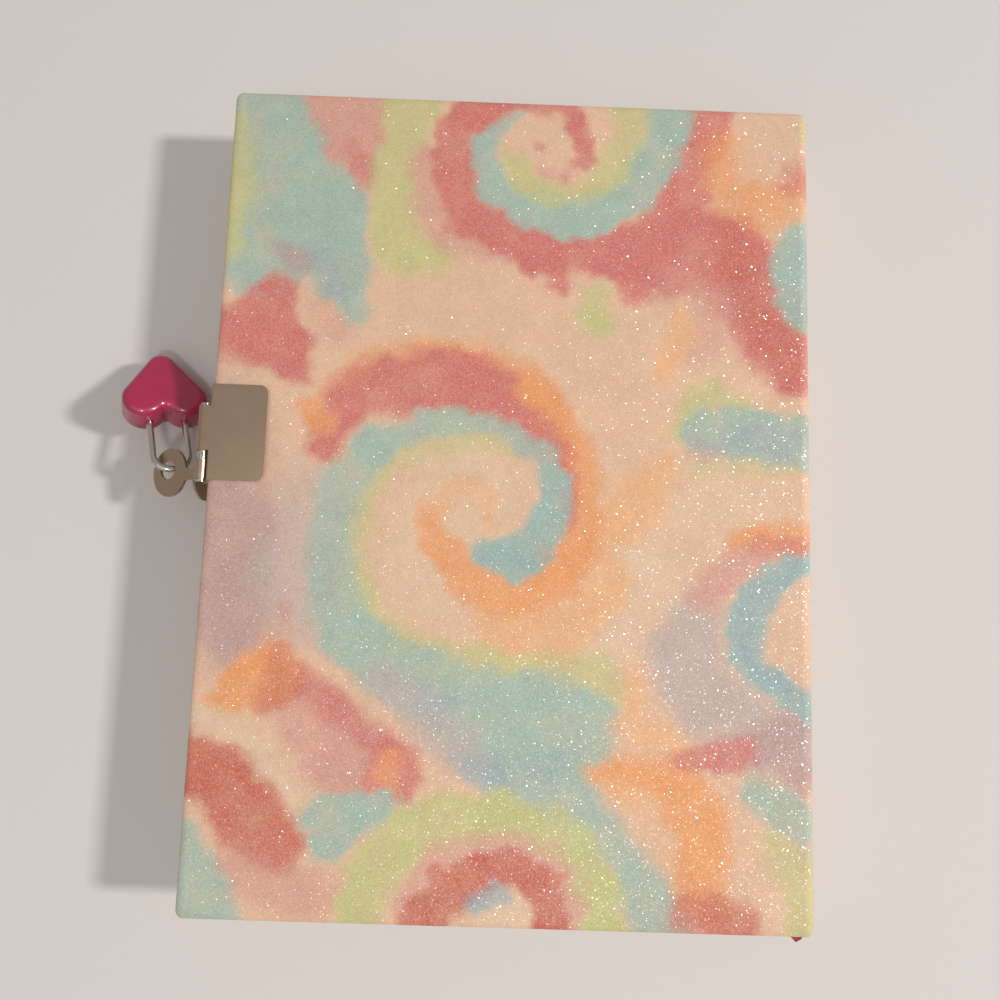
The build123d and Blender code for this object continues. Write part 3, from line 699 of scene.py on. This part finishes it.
def cover_wrapping(name, outer_z, inward):
    """A cover's wrapping: a flat grid that curls down at the joint, and the edge profile carried round the
    other three sides, turning about the corners and mitred where it is turned in. Inside the joint, past the
    board, lies the paper's back, a paper's thickness under the face."""
    flat = joint_x - fore_x - roll
    curl = joint_radius * np.pi / 2
    run = np.concatenate([np.arange(0, flat, grid_step), flat + np.linspace(0, curl, 10)])
    turn = np.clip((run - flat) / joint_radius, 0, np.pi / 2)
    base_x = fore_x + roll + np.minimum(run, flat) + joint_radius * np.sin(turn)
    base_depth = joint_radius * (1 - np.cos(turn))
    in_x, in_depth = -np.sin(turn), np.cos(turn)
    half_y = half_height - roll
    y = np.linspace(-half_y, half_y, int(2 * half_y / grid_step))
    press = press_depth(base_x[:, None] + 0 * y, y[None, :] + 0 * base_x[:, None])
    face_x = base_x[:, None] + in_x[:, None] * press
    face_depth = base_depth[:, None] + in_depth[:, None] * press
    face = np.stack([face_x, y[None, :] + 0 * face_x, outer_z + inward * face_depth], -1)
    face_along = (fore_x + roll + run)[:, None] + 0 * y[None, :]
    face_y = y[None, :] + 0 * face_along

    fan = np.linspace(np.pi / 2, np.pi, 10)[1:-1]
    ones, corner, side = np.ones_like(run), np.ones_like(fan), np.ones_like(y)
    path_x = np.concatenate([base_x[::-1], base_x[0] * corner, base_x[0] * side, base_x[0] * corner, base_x])
    path_y = np.concatenate([half_y * ones, half_y * corner, y[::-1], -half_y * corner, -half_y * ones])
    out_x = np.concatenate([0 * ones, np.cos(fan), -side, np.cos(fan[::-1]), 0 * ones])
    out_y = np.concatenate([ones, np.sin(fan), 0 * side, -np.sin(fan[::-1]), -ones])
    middle = np.zeros(2 * fan.size + y.size)
    path_depth = np.concatenate([base_depth[::-1], middle, base_depth])
    path_in_x = np.concatenate([in_x[::-1], middle, in_x])
    path_in_depth = np.concatenate([in_depth[::-1], middle + 1, in_depth])
    path_along = fore_x + roll + np.concatenate([run[::-1], middle, run])
    over, depth, length = (column[:, None] for column in edge_profile())
    inset = np.minimum(over, 0)
    rim_x = np.maximum(path_x, fore_x + roll - inset) + out_x * np.maximum(over, 0)
    rim_y = np.clip(path_y, -half_y - inset, half_y + inset) + out_y * np.maximum(over, 0)
    sunk = depth + press_depth(rim_x, rim_y) * (1 - depth / panel)
    rim_z = outer_z + inward * (path_depth + path_in_depth * sunk)
    rim = np.stack([rim_x + path_in_x * sunk, rim_y, rim_z], -1)
    inner_radius = joint_radius - paper_thickness
    inner_turn = np.linspace(np.pi / 2, 0, 10)
    inner_x = np.append(joint_x + inner_radius * np.sin(inner_turn), board_end_x)
    inner_depth = np.append(joint_radius - inner_radius * np.cos(inner_turn), paper_thickness)
    inner_y = np.linspace(back_inset - half_height, half_height - back_inset, 40)
    shape = (inner_x.size, inner_y.size)
    inner = [
        np.broadcast_to(inner_x[:, None], shape),
        np.broadcast_to(inner_y, shape),
        np.broadcast_to(outer_z + inward * inner_depth[:, None], shape),
    ]
    obj = surface(name, [face, rim, np.stack(inner, -1)], flip=inward > 0)
    along = np.concatenate([face_along.ravel(), (path_along + out_x * length).ravel()])
    across = np.concatenate([face_y.ravel(), (path_y + out_y * length).ravel()])
    if inward > 0:
        along = 2 * sheet_middle - along
    print_dye(obj, along, across, bare=inner_x.size * inner_y.size)
    weld(obj)
    return obj


def spine_wrapping(name):
    """The spine's wrapping: a flat strip between the joints, rolled in over the board at head and tail."""
    over, depth, length = edge_profile()
    half_y = half_height - roll
    y = np.linspace(-half_y, half_y, int(2 * half_y / grid_step))
    section_y = np.concatenate([-half_y - over[::-1], y[1:-1], half_y + over])
    section_depth = np.concatenate([depth[::-1], 0 * y[1:-1], depth])
    paper_y = np.concatenate([-half_y - length[::-1], y[1:-1], half_y + length])
    z = np.linspace(spine_high, spine_low, 24)
    shape = (z.size, section_y.size)
    points = [
        np.broadcast_to(joint_x + joint_radius - section_depth, shape),
        np.broadcast_to(section_y, shape),
        np.broadcast_to(z[:, None], shape),
    ]
    obj = surface(name, [np.stack(points, -1)])
    along = sheet_middle + (spine_low + spine_high) / 2 - np.broadcast_to(z[:, None], shape)
    print_dye(obj, along.ravel(), np.broadcast_to(paper_y, shape).ravel())
    return obj


# Glitter flakes of about 0.26 mm in clear varnish, each lying at its own tilt, over matt grainy paper:
# a little coarser than fine glitter's 0.2 mm, so that single flakes show.
glitter, shader = new_finish("glitter_coated_printed_paper")
place = put(glitter, "ShaderNodeTexCoord", {}).outputs["Object"]
dye = put(glitter, "ShaderNodeAttribute", {}, attribute_name="dye").outputs["Color"]
flake = put(glitter, "ShaderNodeTexVoronoi", {"Vector": place, "Scale": 3850.0})
tone = put(glitter, "ShaderNodeSeparateColor", {"Color": flake.outputs["Color"]})
chance = put(glitter, "ShaderNodeTexWhiteNoise", {"Vector": flake.outputs["Position"]})
shine = put(glitter, "ShaderNodeMath", {0: chance.outputs["Value"], 1: 1.3}, operation="POWER")
lift = put(glitter, "ShaderNodeSeparateColor", {"Color": chance.outputs["Color"]})
spread = put(glitter, "ShaderNodeMath", {0: lift.outputs[1], 1: 1.2, 2: 0.2}, operation="MULTIPLY_ADD")
tilt = put(
    glitter,
    "ShaderNodeVectorMath",
    {0: flake.outputs["Color"], 1: (0.5, 0.5, 0.5)},
    operation="SUBTRACT",
)
skew = put(
    glitter,
    "ShaderNodeVectorMath",
    {0: tilt.outputs[0], "Scale": spread.outputs[0]},
    operation="SCALE",
)
level = put(glitter, "ShaderNodeNewGeometry", {}).outputs["Normal"]
leaning = put(glitter, "ShaderNodeVectorMath", {0: level, 1: skew.outputs[0]}, operation="ADD")
facet = put(glitter, "ShaderNodeVectorMath", {0: leaning.outputs[0]}, operation="NORMALIZE")
sugar = put(glitter, "ShaderNodeTexNoise", {"Vector": place, "Scale": 2600.0, "Detail": 2.0})
grain = put(glitter, "ShaderNodeBump", {"Height": sugar.outputs[0], "Strength": 0.35, "Distance": 0.0001})
# Painted glints: on some flakes the dye's colour is lightened towards near-white, sparkle painted into the
# base colour.
painted_glint_share = put(
    glitter,
    "ShaderNodeMapRange",
    {"Value": tone.outputs[2], "From Min": 0.4, "From Max": 1.0, "To Min": 0.0, "To Max": 0.16},
)
dye_with_painted_glints = put(
    glitter,
    "ShaderNodeMix",
    {0: painted_glint_share.outputs[0], 6: dye, 7: linear("#fbf7f2")},
    data_type="RGBA",
)
wire(
    shader,
    {
        "Base Color": dye_with_painted_glints.outputs[2],
        "Roughness": 0.7,
        "IOR": 1.5,
        "Normal": grain.outputs[0],
        "Coat Weight": shine.outputs[0],
        "Coat Roughness": 0.2,
        "Coat IOR": 1.6,
        "Coat Normal": facet.outputs[0],
    },
)
back_wrapping = cover_wrapping("back_cover_wrapping", book_thickness, -1)
front_wrapping = cover_wrapping("front_cover_wrapping", 0.0, 1)
spine_sheet = spine_wrapping("spine_wrapping")
for piece, body, node in (
    (back_wrapping, "back_cover", "back_wrap"),
    (front_wrapping, "front_cover", "front_wrap"),
    (spine_sheet, "spine", "spine_wrap"),
):
    dress(piece, glitter)
    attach(piece, body)
    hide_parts(node)

# Clasp: a plate folded over each fore-edge, a pin through its rolled knuckle and a hasp ear on the pin.
# Stamped steel with a thin satin brass plating, cloudy from handling.

brass, shader = new_finish("satin_brass_plating")
place = put(brass, "ShaderNodeTexCoord", {}).outputs["Object"]
# Rolling lines every 0.3 mm along the sheet and cloudy handling marks of about 6 mm.
rolled = put(brass, "ShaderNodeMapping", {"Vector": place, "Scale": (3300, 180, 900)})
lines = put(brass, "ShaderNodeTexNoise", {"Vector": rolled.outputs[0], "Scale": 1.0, "Detail": 2.0})
marks = put(brass, "ShaderNodeTexNoise", {"Vector": place, "Scale": 160.0, "Detail": 4.0})
brass_colour = put(
    brass,
    "ShaderNodeMix",
    {0: marks.outputs[0], 6: linear("#bba289"), 7: linear("#c2aa91")},
    data_type="RGBA",
)
brass_gloss = put(
    brass,
    "ShaderNodeMapRange",
    {"Value": marks.outputs[0], "From Min": 0.3, "From Max": 0.7, "To Min": 0.28, "To Max": 0.35},
)
brass_bump = put(
    brass,
    "ShaderNodeBump",
    {"Height": lines.outputs[0], "Strength": 0.05, "Distance": 0.00002},
)
wire(
    shader,
    {
        "Base Color": brass_colour.outputs[2],
        "Metallic": 1.0,
        "Roughness": brass_gloss.outputs[0],
        "Normal": brass_bump.outputs[0],
    },
)
for name in ("front_clasp_plate", "back_clasp_plate", "front_hasp_ear", "back_hasp_ear"):
    dress(nodes[name], brass)

# Pins, shackle and bolt: steel wire, cut for the hinge pins and bent for the shackle, and a sliding bolt.
# Bright nickel plating whose gloss and tone vary a little, in patches of about 1 mm.

nickel, shader = new_finish("bright_nickel_wire")
place = put(nickel, "ShaderNodeTexCoord", {}).outputs["Object"]
drawn = put(nickel, "ShaderNodeTexNoise", {"Vector": place, "Scale": 900.0, "Detail": 3.0})
nickel_gloss = put(
    nickel,
    "ShaderNodeMapRange",
    {"Value": drawn.outputs[0], "From Min": 0.3, "From Max": 0.7, "To Min": 0.1, "To Max": 0.24},
)
nickel_colour = put(
    nickel,
    "ShaderNodeMix",
    {0: drawn.outputs[0], 6: linear("#c2bcb0"), 7: linear("#e2ded6")},
    data_type="RGBA",
)
wire(
    shader,
    {"Base Color": nickel_colour.outputs[2], "Metallic": 1.0, "Roughness": nickel_gloss.outputs[0]},
)
for name in ("front_hinge_pin", "back_hinge_pin", "lock_shackle", "lock_bolt"):
    dress(nodes[name], nickel)

# Padlock case: two zinc die-castings in a heart shape, lacquered in glossy magenta.
# The lacquer is thick and clear-topped, with an orange-peel of 1.4 mm and a tone that varies over 4.5 mm.

lacquer, shader = new_finish("magenta_gloss_lacquer")
place = put(lacquer, "ShaderNodeTexCoord", {}).outputs["Object"]
peel = put(lacquer, "ShaderNodeTexNoise", {"Vector": place, "Scale": 700.0, "Detail": 1.0})
pool = put(lacquer, "ShaderNodeTexNoise", {"Vector": place, "Scale": 220.0, "Detail": 3.0})
lacquer_colour = put(
    lacquer,
    "ShaderNodeMix",
    {0: pool.outputs[0], 6: linear("#96163f"), 7: linear("#ad2450")},
    data_type="RGBA",
)
peel_bump = put(lacquer, "ShaderNodeBump", {"Height": peel.outputs[0], "Strength": 0.06, "Distance": 0.0001})
wire(
    shader,
    {
        "Base Color": lacquer_colour.outputs[2],
        "Roughness": 0.32,
        "IOR": 1.5,
        "Coat Weight": 0.7,
        "Coat Roughness": 0.08,
        "Normal": peel_bump.outputs[0],
    },
)
for name in ("lock_front_shell", "lock_back_shell"):
    dress(nodes[name], lacquer)

# Table: a plain pale floor under the diary, just below the front cover.
# Matt paint without a pattern.

floor_z = -0.02
floor_edges = np.array([-1500.0, 1500.0])
floor_x, floor_y = np.meshgrid(floor_edges, floor_edges, indexing="ij")
floor = surface("pale_floor", [np.stack([floor_x, floor_y, 0 * floor_x + floor_z], -1)])
floor_paint, shader = new_finish("pale_matt_floor")
wire(shader, {"Base Color": linear("#d6cfca"), "Roughness": 0.9, "Specular IOR Level": 0.1})
dress(floor, floor_paint)

# Light: a key lamp on the spine's side, low enough to throw the book's shadow past the padlock, a weak
# soft box overhead and a small lamp for the glitter at the tail, in an even pale room.

world = bpy.data.worlds.new("pale_room")
bpy.context.scene.world = world
world.use_nodes = True
wire(world.node_tree.nodes["Background"], {"Color": linear("#f4f1ee"), "Strength": 0.4})


def lamp(name, place, aim, size, power):
    """Square area lamp at a place, turned to face a point."""
    light = bpy.data.lights.new(name, "AREA")
    light.size = size
    light.energy = power
    obj = bpy.data.objects.new(name, light)
    obj.location = place
    back = np.array(place, float) - np.array(aim, float)
    back /= np.linalg.norm(back)
    tip = np.arccos(back[2])
    obj.rotation_euler = (0.0, tip, np.arctan2(back[1], back[0]))
    bpy.context.scene.collection.objects.link(obj)


book_middle = (0.0, 0.0, 0.0)
lamp("key_lamp", place=(2.31, 0.11, 1.67), aim=book_middle, size=0.25, power=56.0)
lamp("soft_box", place=(-0.15, -0.33, 0.95), aim=book_middle, size=0.9, power=1.2)
lamp("glint_lamp", place=(0.14, -0.43, 0.94), aim=book_middle, size=0.12, power=1.8)

# Camera: close above the back cover, as in the photograph, found from the places of the cover's corners.
# Place in metres, turn in degrees.

view_lens = 25.89
view_place = (-0.00405, -0.02039, 0.19753)
view_turn = (5.854, -0.636, 1.933)
camera = bpy.data.cameras.new("photo_view")
camera.lens = view_lens
camera.sensor_width = 36.0
camera.clip_start = 0.005
viewer = bpy.data.objects.new("photo_view", camera)
viewer.location = view_place
viewer.rotation_euler = np.radians(view_turn).tolist()
bpy.context.scene.collection.objects.link(viewer)
bpy.context.scene.camera = viewer
bpy.context.scene.view_settings.view_transform = "Standard"
